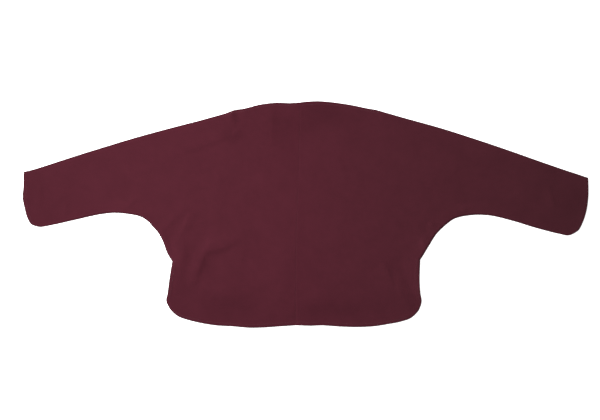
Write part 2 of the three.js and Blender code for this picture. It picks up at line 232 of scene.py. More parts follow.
# Patches of painted shade, and of painted light where the change is positive, in the knit's colour.
# Columns: centre x, y; reach x, y; change.
PAINTED_SHADE_PATCHES = [
    (60, 546, 84, 40, -0.14),
    (-168, 497, 32, 22, -0.09),
    (-162, 545, 7, 15, -0.13),
    (-46, 505, 42, 56, -0.04),
    (700, 345, 90, 130, -0.09),
    (-190, 48, 60, 34, -0.1),
    (-200, 98, 38, 15, 0.05),
    (84, 40, 84, 28, -0.08),
    (-310, 150, 40, 90, -0.05),
    (-68, 130, 26, 100, 0.06),
    (-40, 290, 70, 130, 0.03),
    (290, 165, 22, 70, 0.06),
    (-500, 300, 60, 36, 0.04),
    (304, 112, 14, 40, 0.11),
    (321, 206, 11, 18, 0.14),
    (304, 50, 22, 18, -0.07),
    (-322, 196, 12, 30, 0.12),
    (-340, 230, 9, 16, -0.08),
    (-14, 36, 24, 30, 0.05),
]
EDGE_FUZZ_AND_PAINTED_LIGHT = (0.03, 12.0)  # how much paler an edge looks, by fuzz and painted light, and the reach inwards

# ---------------- the knit and the stage, in metres

# Noise in the knit's lightness. Columns: scale, detail, roughness, share of the lightness.
SHADE_NOISES = {
    "nap_and_painted_shade": (420.0, 4.0, 0.6, 0.16),
    "mottles": (75.0, 2.0, 0.5, 0.12),
    "clouds": (19.0, 3.0, 0.5, 0.2),
    "fibres": (2400.0, 3.0, 0.65, 0.2),
}
WANDER_NOISE = (55.0, 2.0)  # scale and detail of the way that wales and courses wander
WALE_WANDER, COURSE_WANDER = 0.0028, 0.0020
# Painted cool light makes the colour duller along the right sleeve: from and to which X, and
# the change of red, green and blue at the end.
PAINTED_COOL_LIGHT_FROM, PAINTED_COOL_LIGHT_TO = -0.02, 0.75
PAINTED_COOL_LIGHT_TINT = (1.0, 1.28, 1.12, 1.0)
BLACK = (0.0, 0.0, 0.0, 1.0)
WHITE = (1.0, 1.0, 1.0, 1.0)

FLOOR_REACH = 30.0  # to each side of the middle
FLOOR_DROP = 0.0004
OVERHEAD_PLACE = (-405.0, 425.0, 1020.0)  # above the left shoulder, in the cut's millimetres
OVERHEAD_RADIUS = 0.22
VIEW_MIDDLE = (6.1, 299.5, 0.0)  # what the camera looks straight down on, in the same


def smooth(x):
    """3x^2 - 2x^3 between 0 and 1, and level outside."""
    x = np.clip(x, 0.0, 1.0)
    return x * x * (3.0 - 2.0 * x)


def line(points, corners=()):
    """A smooth line through points, broken at the corners: place(u), with u counted in points.

    Between two points it is a cubic, and its slope at a point is the difference to both
    neighbours, each weighed by the square root of the distance to it.
    """
    points = np.asarray(points, float)
    stops = [0, *corners, len(points) - 1]
    cubics = []
    for first, last in zip(stops, stops[1:]):
        run = points[first : last + 1]
        run = np.vstack([2 * run[0] - run[1], run, 2 * run[-1] - run[-2]])
        knots = np.sqrt(np.linalg.norm(np.diff(run, axis=0), axis=1))[:, None]
        before, here, after = knots[:-2], knots[1:-1], knots[2:]
        p0, p1, p2, p3 = run[:-3], run[1:-2], run[2:-1], run[3:]
        start = (p1 - p0) / before - (p2 - p0) / (before + here) + (p2 - p1) / here
        end = (p2 - p1) / here - (p3 - p1) / (here + after) + (p3 - p2) / after
        start, end = start * here, end * here
        cubics.append([p1, start, 3 * (p2 - p1) - 2 * start - end, 2 * (p1 - p2) + start + end])
    cubic = np.concatenate(cubics, axis=1)

    def place(u):
        k = np.clip(np.ceil(u).astype(int) - 1, 0, cubic.shape[1] - 1)
        w = (u - k)[..., None]
        c0, c1, c2, c3 = cubic[:, k]
        return c0 + w * (c1 + w * (c2 + w * c3))

    return place


def length(v):
    """The length of each vector in an array."""
    return np.linalg.norm(v, axis=-1)


def cross(a, b):
    """The product of two plan vectors that is positive where b is to the left of a."""
    return a[..., 0] * b[..., 1] - a[..., 1] * b[..., 0]


def bells(p, table, wander=0.0):
    """The sum of height * exp(-(dx^2 + dy^2)) for the rows of a table, with centre, reach and
    height as columns: dx and dy are the way from the centre in reaches, plus the wander."""
    total = np.zeros(p.shape[:-1])
    for x, y, reach_x, reach_y, height in table:
        off = (p - (x, y)) / (reach_x, reach_y) + wander
        total += height * np.exp(-(off**2).sum(-1))
    return total


def nearest(p, path):
    """The place of a line of straight stretches that is nearest to each point: its distance, how
    far along the line it is, in stretches, and its side, positive to the left of the line."""
    way = np.diff(path, axis=0)
    to_point = p[..., None, :] - path[:-1]
    share = np.clip((to_point * way).sum(-1) / (way**2).sum(-1), 0, 1)
    off = to_point - share[..., None] * way
    distance = length(off)
    side = cross(way, off)
    k = distance.argmin(-1)[..., None]
    distance, share, side = (np.take_along_axis(a, k, -1)[..., 0] for a in (distance, share, side))
    return distance, k[..., 0] + share, side


class Half:
    """The strip of one half of the cardigan.

    point(s, t) takes s in sections, from cuff to hem, and t from 0 on the under edge to 1 on the
    outer edge. It is the straight section between the two edge lines, plus the bows of the cuff
    and of the hem, which fade away from the two ends.
    """

    def __init__(self, side):
        _, steps, left_ends, right_ends = zip(*SECTIONS)
        ends = np.array(left_ends if side == "left" else right_ends, float)
        cuff, hem = CUFFS[side], HEMS[side]
        self.side = side
        self.away = -1.0 if side == "left" else 1.0
        self.steps = steps[:-1]
        self.outer = line(ends[:, :2], (NECK_POINT, NECK_CENTRE))
        run = line([cuff[0], *ends[:, 2:], hem[0]], (WAIST + 1,))
        self.under = lambda s: run(s + 1)
        self.bows = [self.bow(ends[0], ends[1, 2:], cuff), self.bow(ends[-1], ends[-2, 2:], hem)]
        u = np.linspace(0, 1, EDGE_SAMPLES + 1)
        self.turned = [  # cuff, hem, neck and vent, whose edges are turned in and stitched
            self.point(0.0, u),
            self.point(HEM, u),
            self.point(NECK_POINT + u * (NECK_CENTRE - NECK_POINT), 1.0),
            self.point(WAIST + u * (HEM - WAIST), 0.0),
        ]
        self.front_lines = [self.front_hem_line, self.cuff_line, self.vent_line, self.opening_line]
        self.front_stitching = [self.front_point(*line_of(u)) for line_of in self.front_lines]

    @staticmethod
    def bow(section, before, points):
        """How far a curved end stands off its straight section, as a function of t. It starts
        the way that the under edge arrives from the point before."""
        outer, under = section[:2], section[2:]
        curve = line([before, under, *points, outer])
        stretches = len(points) + 1
        return lambda t: curve(1 + t * stretches) - (under + (outer - under) * t[..., None])

    def point(self, s, t):
        s, t = np.broadcast_arrays(np.asarray(s, float), np.asarray(t, float))
        under, outer = self.under(s), self.outer(s)
        p = under + (outer - under) * t[..., None]
        cuff_fade = np.maximum(0, 1 - s / (WRIST + 2)) ** 2
        hem_fade = smooth((s - WAIST) / (HEM - WAIST))
        for curve, fade in zip(self.bows, (cuff_fade, hem_fade)):
            p = p + curve(t) * fade[..., None]
        return p

    def hem_section(self, t):
        """The length of one section just above the hem, at the share t of its width."""
        return length(self.point(HEM_BAND, t) - self.point(HEM, t)) / (HEM - HEM_BAND)

    def front_rise(self, t):
        """How far the front hem lies above the back hem, in sections: the rise grows with t^2,
        and its corner with a high power of t."""
        rise = FRONT_HEM_RISE * t**2 + FRONT_CORNER_RISE * t**FRONT_CORNER_SHARPNESS
        return rise / self.hem_section(t)

    def front_share(self, s):
        """The share of a section that the front covers: up to the straight line from the neck
        point to the centre at the waist, and all of it elsewhere."""
        start = self.point(NECK_POINT, 1.0)
        neckline = self.point(WAIST, 1.0) - start
        under = self.point(s, 0.0)
        crossed = cross(start - under, neckline)
        across = cross(self.point(s, 1.0) - under, neckline)
        inside = (s > NECK_POINT) & (s < WAIST)
        return np.where(inside, crossed / np.where(inside, across, 1.0), 1.0)

    def front_point(self, s, t):
        """The front's own point(s, t): it ends at the risen hem and at the opening."""
        rise = self.front_rise(t) * smooth((s - WAIST) / (HEM - WAIST))
        plan = self.point(s - rise, t * self.front_share(s))
        plan[..., 0] += self.away * FRONT_OPENING / 2 * t * smooth(s - NECK_POINT)
        return plan

    def front_lie(self, s, t, plan):
        """The height of the front's underside: the creases pressed into it, calm at the edges,
        and a bell-shaped groove along each line of top stitching."""
        pressed = sum(fold_height(plan, fold) for fold in FRONT_FOLDS)
        depth, width = STITCH_GROOVE
        distance = np.minimum.reduce([nearest(plan, path)[0] for path in self.front_stitching])
        groove = depth * np.exp(-((distance / width) ** 2))
        return pressed * smooth(self.clear(s, t) / EDGE_CALM) + groove

    def sunk(self, s, t):
        """1 where the back lies on the surface beyond the fronts, 0 where it lies on them."""
        reach = length(self.point(s, 0.0) - self.point(s, 1.0))
        beyond_neck = (t - self.front_share(s)) * reach
        beyond_hem = (s - HEM + self.front_rise(t)) * self.hem_section(t)
        at_neck = smooth((beyond_neck - NECK_SINK[0]) / NECK_SINK[1])
        at_hem = smooth((beyond_hem - HEM_SINK[0]) / HEM_SINK[1])
        return np.maximum(at_neck, at_hem)

    def clear(self, s, t):
        """The distance to the nearest edge, along the section or the strip."""
        here = self.point(s, t)
        free = np.minimum(s, NECK_CENTRE)  # the centre back is no edge: the halves lie as one
        ends = [self.point(s, 0.0), self.point(free, 1.0), self.point(0.0, t), self.point(HEM, t)]
        return np.minimum.reduce([length(end - here) for end in ends])

    def turned_bulk(self, plan):
        """The bulk of the turned hems: level inside the edge, with a slope where the turning
        ends and a soft rise from the edge."""
        bulk, slope, rise = TURNING_BULK
        distance = np.minimum.reduce([nearest(plan, path)[0] for path in self.turned])
        return bulk * smooth(distance / rise) * smooth((TURNING + slope / 2 - distance) / slope)

    def back_lie(self, s, t, plan):
        """The height of the back's underside: on the fronts or on the surface beyond them, plus
        the swells, the creases and the bulk of the seams and turned hems, each of which fades
        out at the edges."""
        cloth = bpy.context.scene.cardigan_cloth
        clear = self.clear(s, t)
        creases = sum(fold_height(plan, fold) for fold in MAIN_FOLDS + SMALL_FOLDS)
        soft = bells(plan, SWELLS) + cloth.ripple / MM * ripple_height(plan)
        from_under = length(plan - self.point(s, 0.0))
        bulk, reach, rise = SEAM_BULK
        sewn = smooth(s - WRIST) * smooth(WAIST + 1 - s)
        seam = bulk * sewn * smooth(from_under / rise) * np.exp(-((from_under / reach) ** 2))
        lie = soft * smooth(clear / EDGE_CALM) + seam + self.turned_bulk(plan)
        lie = lie + cloth.fold_strength * creases * smooth(clear / CREASE_CALM)
        return (cloth.thickness / MM + SEAM_GAP) * (1 - self.sunk(s, t)) + lie

    def share_inside(self, s):
        """The share of a section that the top stitching keeps from an edge."""
        return STITCH_INSIDE / length(self.point(s, 1.0) - self.point(s, 0.0))

    @staticmethod
    def edge_line(first, last, t):
        """Along the edge at t, from one place of the strip to another."""
        return lambda u: (first + u * (last - first), np.full_like(u, t))

    def neck_line(self, u):
        s = NECK_POINT + u * (NECK_CENTRE - NECK_POINT)
        return s, 1 - self.share_inside(s)

    def vent_line(self, u):
        s = WAIST + u * (HEM - STITCH_INSIDE / self.hem_section(0.0) - WAIST)
        return s, self.share_inside(s)

    def hem_line(self, u, ends=1):
        """Inside the hem, from inside the vent and, with two ends, to inside the opening."""
        first = self.share_inside(float(HEM))
        t = first + u * (1 - ends * first)
        return HEM - STITCH_INSIDE / self.hem_section(t), t

    def front_hem_line(self, u):
        return self.hem_line(u, 2)

    def opening_line(self, u):
        """Down the slanting neckline of the front and its opening."""
        s = NECK_POINT + u * (HEM - STITCH_INSIDE / self.hem_section(1.0) - NECK_POINT)
        return s, 1 - STITCH_INSIDE / length(self.front_point(s, 1.0) - self.front_point(s, 0.0))

    def cuff_line(self, u):
        return STITCH_INSIDE / length(self.point(1.0, u) - self.point(0.0, u)), u

    def rows(self, fineness):
        """The places of the grid rows: each section's steps, divided into fineness parts."""
        places = [k + np.arange(n * fineness) / (n * fineness) for k, n in enumerate(self.steps)]
        return np.append(np.concatenate(places), float(HEM))

    def grid(self, fineness, shares):
        """s and t at each point of a panel's grid."""
        return np.broadcast_arrays(self.rows(fineness)[:, None], shares)


HALVES = {side: Half(side) for side in ("left", "right")}


def fold_height(p, fold):
    """The height that a fold adds: a bell across its line, exp(-(distance / flank)^2), which
    rises smoothly along the line to its peak and falls to its end."""
    x0, y0, x1, y1, x2, y2, height, peak, left, right = fold
    u = np.linspace(0, 1, FOLD_SAMPLES + 1)[:, None]
    start, via, end = np.array([x0, y0]), np.array([x1, y1]), np.array([x2, y2])
    path = start * (1 - u) ** 2 + 2 * via * u * (1 - u) + end * u**2
    added = np.zeros(p.shape[:-1])
    reach = 3.0 * max(left, right)
    near = ((p > path.min(0) - reach) & (p < path.max(0) + reach)).all(-1)
    distance, at, side = nearest(p[near], path)
    flank = np.where(side > 0, left, right)
    at = at / FOLD_SAMPLES
    along = smooth(np.where(at < peak, at / peak, (1 - at) / (1 - peak)))
    added[near] = height * along * np.exp(-((distance / flank) ** 2))
    return added


def ripple_height(p):
    """Shallow unevenness of the lie: three slanting sine waves whose phases are bent by longer
    ones, so that no crest is straight or as long as the cloth."""
    x, y = p[..., 0], p[..., 1]
    bend = 26 * np.sin(x / 210 + 0.6) + 22 * np.sin(y / 150 + 1.9)
    waves = np.sin((x + 0.7 * y + bend) / 31) * np.sin((y - 0.2 * x) / 83 + 0.4)
    waves += 0.7 * np.sin((0.8 * y - x + bend) / 23 + 1.1) * np.sin((x + y) / 97 + 2.2)
    waves += 0.5 * np.sin((x - 0.35 * bend) / 13.5 + 0.5) * np.sin((y + bend) / 61)
    return 0.5 + 0.25 * waves


# ---------------- walls of cloth


def border(rows, columns):
    """Grid points once round the edge: along the under edge, hem, outer edge and cuff."""
    i, j = np.arange(rows), np.arange(columns)
    sides = [(i, 0 * i), (rows + 0 * j, j), (rows - i, columns + 0 * i), (0 * j, columns - j)]
    return np.hstack(sides)


def roundings(s, kinds):
    """The rounding of the four sides at each grid point, from the panel's table of edges: the
    under edge, the hem, the outer edge and the cuff."""
    rounding = np.empty((4, *s.shape, 4))
    rounding[:] = kinds["free"]
    rounding[0][(s >= WRIST) & (s <= WAIST)] = kinds["sewn"]
    rounding[2][s <= NECK_POINT] = kinds["sewn"]
    if "centre" in kinds:
        rounding[2][s >= NECK_CENTRE] = kinds["centre"]
    return rounding


def inward_moves(plan, mirrored):
    """For the same four sides and each grid point, the unit move away from the side, scaled from
    1 at the side to 0 at EDGE_REACH from it."""
    turn = -1 if mirrored else 1
    edges = (plan[:, :1], plan[-1:], plan[:, -1:], plan[:1])
    moves = []
    for edge, axis, sense in zip(edges, (0, 1, 0, 1), (turn, turn, -turn, -turn)):
        way = np.gradient(edge, axis=axis) * sense
        way /= length(way)[..., None]
        inwards = np.stack([-way[..., 1], way[..., 0]], axis=-1)
        moves.append(inwards * smooth(1 - length(plan - edge) / EDGE_REACH)[..., None])
    return np.stack(moves)


def fuzz_and_painted_shade(p, clear):
    """A factor on the knit's colour: 1, plus bells of painted shade and painted light for the
    patches, plus the fuzz and painted light of an edge, which fades with the distance from it.
    Sines of both coordinates make the bells' edges wander by a share of their reach."""
    fuzz_and_painted_light, reach = EDGE_FUZZ_AND_PAINTED_LIGHT
    x, y = p[..., 0], p[..., 1]
    wander_x = 0.24 * np.sin(y / 19 + 0.8) + 0.12 * np.sin(x / 13 + y / 31)
    wander_y = 0.24 * np.sin(x / 23 + 2.1) + 0.12 * np.sin(y / 11 - x / 37)
    wander = np.stack([wander_x, wander_y], axis=-1)
    return 1.0 + fuzz_and_painted_light * np.exp(-clear / reach) + bells(p, PAINTED_SHADE_PATCHES, wander)


def wall(plan, top, bottom, rounding, mirrored):
    """A closed wall of cloth from a grid of the cut and the heights of its two faces.

    Each face is the grid, drawn in from the four sides. Between the faces, round the edge, the
    rim follows a quarter of an ellipse out to the outline and another back from it. Returns the
    vertices, the four-sided faces and, for each vertex, its place in the flat grid.
    """
    moves = inward_moves(plan, mirrored)
    inset, share, upper_end, lower_end = np.moveaxis(rounding, -1, 0)
    upper = plan + (moves * (inset + upper_end)[..., None]).sum(0)
    lower = plan + (moves * (inset + lower_end)[..., None]).sum(0)
    layers = [np.dstack([upper, top]).reshape(-1, 3), np.dstack([lower, bottom]).reshape(-1, 3)]
    number = np.arange(top.size).reshape(top.shape)
    cells = np.stack([number[:-1, :-1], number[1:, :-1], number[1:, 1:], number[:-1, 1:]], -1)
    cells = cells.reshape(-1, 4)
    faces = [cells, cells[:, ::-1] + number.size]

    i, j = border(*(n - 1 for n in top.shape))
    level = share[0].copy()  # the height of the outline, by the side that a border point is on
    level[:, -1] = share[2][:, -1]
    level[0], level[-1] = share[3][0], share[1][-1]
    middle = bottom[i, j] + ((top - bottom) * level)[i, j]
    rings = [number[i, j]]
    origin = [number.ravel(), number.ravel()]
    used = 2 * number.size
    for angle in RIM_ANGLES:
        over = angle <= math.pi / 2
        ends = upper_end if over else lower_end
        amount = (inset + ends * (1 - math.sin(angle)))[:, i, j]
        place = plan[i, j] + (moves[:, i, j] * amount[..., None]).sum(0)
        height = middle + (top[i, j] - middle if over else middle - bottom[i, j]) * math.cos(angle)
        layers.append(np.column_stack([place, height]))
        rings.append(used + np.arange(len(i)))
        origin.append(number[i, j])
        used += len(i)
    rings.append(number[i, j] + number.size)
    for above, below in zip(rings, rings[1:]):
        quads = [below, np.roll(below, -1), np.roll(above, -1), above]
        faces.append(np.stack(quads, axis=-1))

    faces = np.concatenate(faces)
    faces = faces[:, ::-1] if mirrored else faces
    return np.concatenate(layers), faces, np.concatenate(origin)


def mesh_object(name, vertices, faces, material, nap_and_painted_shade=None):
    """A smooth-shaded object at the origin from vertices in metres and four-sided faces, with
    the painted shade and light of the patches and edges at each vertex, when given."""
    mesh = bpy.data.meshes.new(name)
    mesh.from_pydata(vertices, [], faces)
    mesh.shade_smooth()
    if nap_and_painted_shade is not None:
        shade = mesh.attributes.new("nap_and_painted_shade", "FLOAT", "POINT")
        shade.data.foreach_set("value", nap_and_painted_shade.astype(np.float32))
    if mesh.validate():
        raise RuntimeError(f"{name}: the mesh had faults")
    mesh.materials.append(material)
    piece = bpy.data.objects.new(name, mesh)
    bpy.context.scene.collection.objects.link(piece)
    return piece


def plan_box():
    """Lowest and highest plan corner of the two halves, in millimetres."""
    edges = []
    for half in HALVES.values():
        s, t = half.rows(8), np.linspace(0, 1, 200)
        edges += [half.point(s, 0.0), half.point(s, 1.0), half.point(0.0, t), half.point(HEM, t)]
    edge = np.concatenate(edges)
    return edge.min(0), edge.max(0)


LOW, HIGH = plan_box()
CAD_MIDDLE = [(a + b) / 2 for a, b in zip(*CAD_BOX)]


def to_frame(points):
    """Millimetres of the cut to metres of the frame: the two boxes have one middle."""
    moved = np.array(points, float)
    moved[..., :2] -= (LOW + HIGH) / 2
    moved *= MM
    moved[..., :2] += CAD_MIDDLE[:2]
    return moved


# ---------------- settings


LENGTH = {"subtype": "DISTANCE", "unit": "LENGTH"}
ANGLE = {"subtype": "ANGLE", "unit": "ROTATION"}


class ClothSettings(bpy.types.PropertyGroup):
    """Sizes of the cloth and of the way it lies."""

    thickness: FloatProperty(
        name="Cloth", description="Thickness of the knit", default=0.0018, min=0.001, max=0.003,
        **LENGTH,
    )
    fold_strength: FloatProperty(
        name="Folds", description="Share of the folds' full height", default=1.0, min=0, max=1.5,
        subtype="FACTOR",
    )
    ripple: FloatProperty(
        name="Ripple", description="Height of the shallow unevenness", default=0.00035, **LENGTH
    )
    fineness: IntProperty(
        name="Fineness", description="Grid cells to each step of the cut", default=6, min=2, max=7
    )


class KnitSettings(bpy.types.PropertyGroup):
    """Colour and structure of the knit."""

    colour: FloatVectorProperty(
        name="Wine", description="Colour of the yarn", default=(0.0532, 0.0099, 0.0163),
        subtype="COLOR", size=3, min=0, max=1,
    )
    wale: FloatProperty(name="Wale", description="Width of a stitch", default=0.0013, **LENGTH)
    course: FloatProperty(name="Course", description="Height of a stitch", default=0.0010, **LENGTH)
    relief: FloatProperty(name="Relief", description="Depth of a stitch", default=0.00022, **LENGTH)


class SewingSettings(bpy.types.PropertyGroup):
    """Thread and stitches of the seams."""

    stitch: FloatProperty(name="Stitch", description="Between stitches", default=0.0032, **LENGTH)
    thread: FloatProperty(name="Thread", description="Its radius", default=0.0002, **LENGTH)


class StageSettings(bpy.types.PropertyGroup):
    """Floor, lights and camera."""

    camera_height: FloatProperty(name="Camera", description="Its height", default=2.6, **LENGTH)
    view_width: FloatProperty(name="View", description="Its width", default=1.56, **LENGTH)
    overhead: FloatProperty(name="Overhead", description="Its power", default=57, subtype="POWER")
    side_light: FloatProperty(name="Side light", description="Its strength", default=4.7)
    side_azimuth: FloatProperty(
        name="Side azimuth", description="Where it comes from, counted from +X",
        default=math.radians(148), **ANGLE,
    )
    side_elevation: FloatProperty(
        name="Side elevation", description="Its height over the floor",
        default=math.radians(24), **ANGLE,
    )
    side_spread: FloatProperty(
        name="Side spread", description="How wide it looks", default=math.radians(26), **ANGLE
    )
    ambient: FloatProperty(name="Ambient", description="Strength of the world", default=0.25)


# ---------------- finish


ONE_INPUT = {"SINE", "COSINE", "ABSOLUTE", "FRACT", "SQRT"}


class Graph:
    """A short way to write a material: math, linear, noise and mix return one output."""

    def __init__(self, name):
        self.material = bpy.data.materials.new(name)
        self.material.use_nodes = True
        self.tree = self.material.node_tree
        self.tree.nodes.clear()
        self.where = self.node("ShaderNodeTexCoord").outputs["Object"]

    def node(self, kind, inputs=(), **settings):
        node = self.tree.nodes.new(kind)
        for key, value in settings.items():
            setattr(node, key, value)
        for key, value in dict(inputs).items():
            if isinstance(value, bpy.types.NodeSocket):
                self.tree.links.new(value, node.inputs[key])
            else:
                node.inputs[key].default_value = value
        return node

    def math(self, operation, a, b=0.0, clamp=False):
        inputs = {0: a} if operation in ONE_INPUT else {0: a, 1: b}
        return self.node("ShaderNodeMath", inputs, operation=operation, use_clamp=clamp).outputs[0]

    def linear(self, value, factor, shift):
        """value * factor + shift."""
        return self.math("ADD", self.math("MULTIPLY", value, factor), shift)

    def noise(self, scale, detail, roughness=0.5):
        inputs = {"Vector": self.where, "Scale": scale, "Detail": detail, "Roughness": roughness}
        return self.node("ShaderNodeTexNoise", inputs).outputs["Fac"]

    def mix(self, factor, a, b, blend="MIX"):
        """Colour b over a by factor."""
        inputs = {0: factor, 6: a, 7: b}
        return self.node("ShaderNodeMix", inputs, data_type="RGBA", blend_type=blend).outputs[2]

    def finish(self, inputs):
        """Ends in one principled shader with these inputs, and returns the material."""
        surface = self.node("ShaderNodeBsdfPrincipled", inputs)
        self.node("ShaderNodeOutputMaterial", {"Surface": surface.outputs[0]})
        return self.material


def tint(colour, factor, lift=0.0):
    """A colour made deeper or paler by a factor and lifted, with its alpha."""
    return (*(min(1.0, factor * c + lift) for c in colour), 1.0)


def knit_material(name, shade):
    """Fine plain knit with a soft nap.

    u counts the wales along X and v the courses along Y. Both wander a little with a noise, and
    both have Z added, so that the knit runs on down over the rim. A stitch is a V: across a wale
    the two legs are the square root of |sin(2 pi u)|, and along it each leg swells with
    0.72 + 0.28 cos(2 pi (v + slant)), where the slant is 1.5 times the distance from the middle
    of the wale. The stitch gives the bump, and painted shade between its legs. Nap, mottles,
    clouds in the dye and loose fibres come from noise; the patches of painted shade and painted
    light, and the edges' fuzz and painted light, from a vertex attribute; and along X a painted
    cool light turns the colour duller.
    """
    settings = bpy.context.scene.cardigan_knit
    g = Graph(name)
    axes = g.node("ShaderNodeSeparateXYZ", {0: g.where})
    wander = g.math("SUBTRACT", g.noise(*WANDER_NOISE), 0.5)

    def count(axis, reach, size):
        place = g.math("ADD", axes.outputs[axis], axes.outputs["Z"])
        return g.math("DIVIDE", g.math("ADD", place, g.math("MULTIPLY", wander, reach)), size)

    u = count("X", WALE_WANDER, settings.wale)
    v = count("Y", COURSE_WANDER, settings.course)
    from_middle = g.math("ABSOLUTE", g.math("SUBTRACT", g.math("FRACT", u), 0.5))
    slanted = g.math("ADD", v, g.math("MULTIPLY", from_middle, 1.5))
    legs = g.math("ABSOLUTE", g.math("SINE", g.math("MULTIPLY", u, math.tau)))
    swell = g.linear(g.math("COSINE", g.math("MULTIPLY", slanted, math.tau)), 0.28, 0.72)
    stitch = g.math("MULTIPLY", g.math("SQRT", legs), swell)

    # Painted shade: the colour is darker where the stitch dips, between its legs.
    light = g.linear(stitch, 0.22, 0.84)
    noises = {}
    for kind, (scale, detail, roughness, part) in SHADE_NOISES.items():
        noises[kind] = g.noise(scale, detail, roughness)
        light = g.math("MULTIPLY", light, g.linear(noises[kind], part, 1 - part / 2))
    # The painted shade and light of the patches and the edges, from the vertex attribute.
    painted_shade_and_fuzz = g.node("ShaderNodeAttribute", attribute_name="nap_and_painted_shade").outputs["Fac"]
    light = g.math("MULTIPLY", g.math("MULTIPLY", light, painted_shade_and_fuzz), 0.8, clamp=True)
    colour = g.mix(light, BLACK, tint(settings.colour, 1.25 * shade))
    fibres = noises["fibres"]
    loose = g.math("MULTIPLY", g.math("SUBTRACT", fibres, 0.66), 2.6, clamp=True)
    colour = g.mix(loose, colour, tint(settings.colour, 2.1 * shade, 0.004))
    # Painted cool light: green and blue rise along X, so the colour turns duller to the right.
    reach = {"Value": axes.outputs["X"], "From Min": PAINTED_COOL_LIGHT_FROM, "From Max": PAINTED_COOL_LIGHT_TO}
    along = g.node("ShaderNodeMapRange", reach).outputs[0]
    colour = g.mix(along, colour, PAINTED_COOL_LIGHT_TINT, "MULTIPLY")

    height = g.math("ADD", stitch, g.math("MULTIPLY", fibres, 0.55))
    height = g.math("ADD", height, g.math("MULTIPLY", noises["nap_and_painted_shade"], 0.8))
    bump = g.node("ShaderNodeBump", {"Distance": settings.relief, "Height": height})
    return g.finish({
        "Base Color": colour,
        "Roughness": 0.92,
        "Specular IOR Level": 0.02,
        "Sheen Weight": 0.03,
        "Sheen Roughness": 0.5,
        "Sheen Tint": (1.0, 0.82, 0.84, 1.0),
        "Normal": bump.outputs[0],
    })


def thread_material(name):
    """Twisted sewing thread in the knit's wine: bands of painted shade where its plies dip, and a
    slight gloss.
    """
    wine = bpy.context.scene.cardigan_knit.colour
    g = Graph(name)
    twist = g.node("ShaderNodeTexWave", {"Vector": g.where, "Scale": 900.0, "Distortion": 2.0})
    plies = twist.outputs["Fac"]
    bump = g.node("ShaderNodeBump", {"Strength": 0.6, "Distance": 0.00006, "Height": plies})
    return g.finish({
        "Base Color": g.mix(plies, tint(wine, 0.75), tint(wine, 1.15)),
        "Roughness": 0.7,
        "Specular IOR Level": 0.3,
        "Sheen Weight": 0.1,
        "Normal": bump.outputs[0],
    })


def floor_material(name):
    """Seamless pale paper, lit so that it stays pale, with the faintest mottling."""
    g = Graph(name)
    return g.finish({
        "Base Color": g.mix(g.noise(3.0, 2.0), (0.93, 0.93, 0.93, 1.0), (0.95, 0.95, 0.95, 1.0)),
        "Roughness": 0.9,
        "Specular IOR Level": 0.1,
        "Emission Strength": 0.85,
    })


# ---------------- pieces


def finish_piece(piece):
    """Every piece rides on the one body."""
    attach(piece, "root")


def panel_object(name, half, s, t, plan, top, bottom, edges, material):
    """The object of a panel, from the places of its grid in the strip, its plan and the heights
    of its two faces. Returns the object, its vertices and its faces."""
    vertices, faces, origin = wall(plan, top, bottom, roundings(s, edges), half.side == "right")
    # The painted shade and light of the patches and the edges, at each vertex.
    nap_and_painted_shade = fuzz_and_painted_shade(plan, half.clear(s, t)).ravel()[origin]
    vertices = to_frame(vertices)
    return mesh_object(name, vertices, faces, material, nap_and_painted_shade), vertices, faces


class CARDIGAN_OT_backs(bpy.types.Operator):
    """Build the two halves of the back, each cut in one with its sleeve"""

    bl_idname = "cardigan.backs"
    bl_label = "Back panels"

    def execute(self, context):
        cloth = context.scene.cardigan_cloth
        material = knit_material("wine_knit_back", 1.0)
        shares = np.linspace(0, 1, BACK_COLUMNS * cloth.fineness + 1) ** BACK_GRADING
        for side, half in HALVES.items():
            s, t = half.grid(cloth.fineness, shares)
            plan = half.point(s, t)
            bottom = half.back_lie(s, t, plan)
            top = bottom + cloth.thickness / MM
            piece, vertices, faces = panel_object(
                f"cloth_back_{side}", half, s, t, plan, top, bottom, BACK_EDGES, material
            )
            finish_piece(piece)
            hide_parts(f"back_{side}")
            sewing = [f"sewing_{name}_{side}" for name in SEWN_ON_EACH_HALF]
            sewing += ["sewing_centre_back"] * (side == "left")
        return {"FINISHED"}


class CARDIGAN_OT_fronts(bpy.types.Operator):
    """Build the two fronts, which lie under the back"""

    bl_idname = "cardigan.fronts"
    bl_label = "Front panels"

    def execute(self, context):
        cloth = context.scene.cardigan_cloth
        material = knit_material("wine_knit_front", 0.96)
        steps = np.linspace(0, 1, FRONT_COLUMNS * cloth.fineness + 1)
        shares = (1 - np.cos(np.pi * steps)) / 2  # closest to each other at both edges
        for side, half in HALVES.items():
            s, t = half.grid(cloth.fineness, shares)
            plan = half.front_point(s, t)
            bottom = half.front_lie(s, t, plan)
            top = np.full(s.shape, cloth.thickness / MM)
            piece, vertices, faces = panel_object(
                f"cloth_front_{side}", half, s, t, plan, top, bottom, FRONT_EDGES, material
            )
            finish_piece(piece)
            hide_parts(f"front_{side}")
        return {"FINISHED"}


